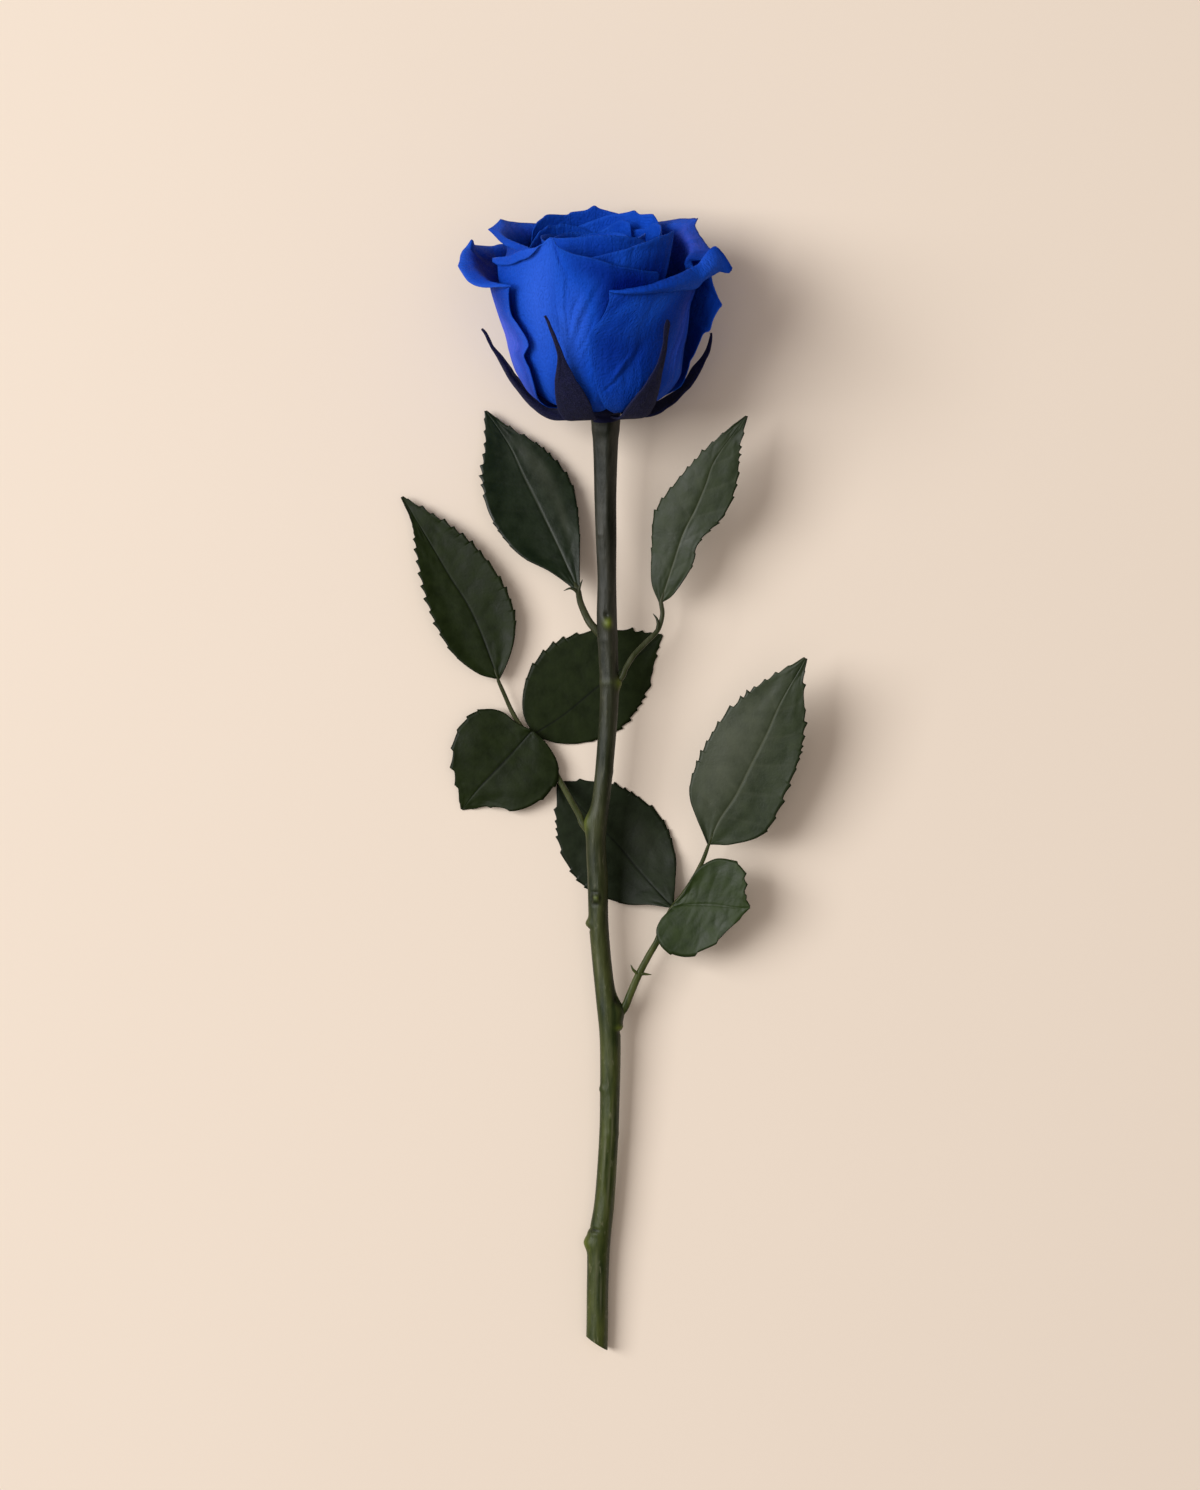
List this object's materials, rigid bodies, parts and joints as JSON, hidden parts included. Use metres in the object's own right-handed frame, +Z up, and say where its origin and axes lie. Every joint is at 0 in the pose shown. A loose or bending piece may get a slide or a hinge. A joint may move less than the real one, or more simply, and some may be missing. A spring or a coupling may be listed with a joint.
{
  "type": "preserved rose",
  "caption": "Cut preserved rose with a deep blue bloom, dark calyx and green leaves on a long stem, lying on its side.",
  "frame": {"origin": "on the surface that the rose lies on, under the middle of its length and width", "axes": "+Y from the cut end of the stem towards the bloom, +Z up from the surface, +X to the right seen from above"},
  "size_m": [0.1006, 0.2838, 0.0564],
  "materials": {
    "petals": "matte",
    "calyx": "matte",
    "leaves": "satin",
    "stem": "satin"
  },
  "bodies": {
    "root": {"petal_front_right": "petals", "petal_left": "petals", "petal_right": "petals", "petal_under": "petals", "petal_front_left": "petals", "petal_second_back_left": "petals", "petal_second_back_right": "petals", "petal_second_right": "petals", "petal_second_back": "petals", "petal_second_front": "petals", "petal_heart_01": "petals", "petal_heart_02": "petals", "petal_heart_03": "petals", "petal_heart_04": "petals", "petal_heart_05": "petals", "petal_heart_06": "petals", "petal_heart_07": "petals", "petal_heart_08": "petals", "petal_heart_09": "petals", "petal_heart_10": "petals", "petal_heart_11": "petals", "petal_heart_12": "petals", "petal_heart_13": "petals", "petal_heart_14": "petals", "petal_heart_15": "petals", "sepal_front_left": "calyx", "sepal_front_right": "calyx", "sepal_left": "calyx", "sepal_right": "calyx", "sepal_under": "calyx", "receptacle": "calyx", "stem": "stem", "leaf_stalk_upper_left": "stem", "leaf_stalk_upper_right": "stem", "leaf_stalk_lower_left": "stem", "leaf_stalk_lower_right": "stem", "leaf_upper_left": "leaves", "leaf_upper_right": "leaves", "leaf_lower_left": "leaves", "leaf_lower_left_side": "leaves", "leaf_lower_left_under": "leaves", "leaf_lower_right": "leaves", "leaf_lower_right_under": "leaves", "leaf_lower_right_side": "leaves"}
  },
  "joints": []
}
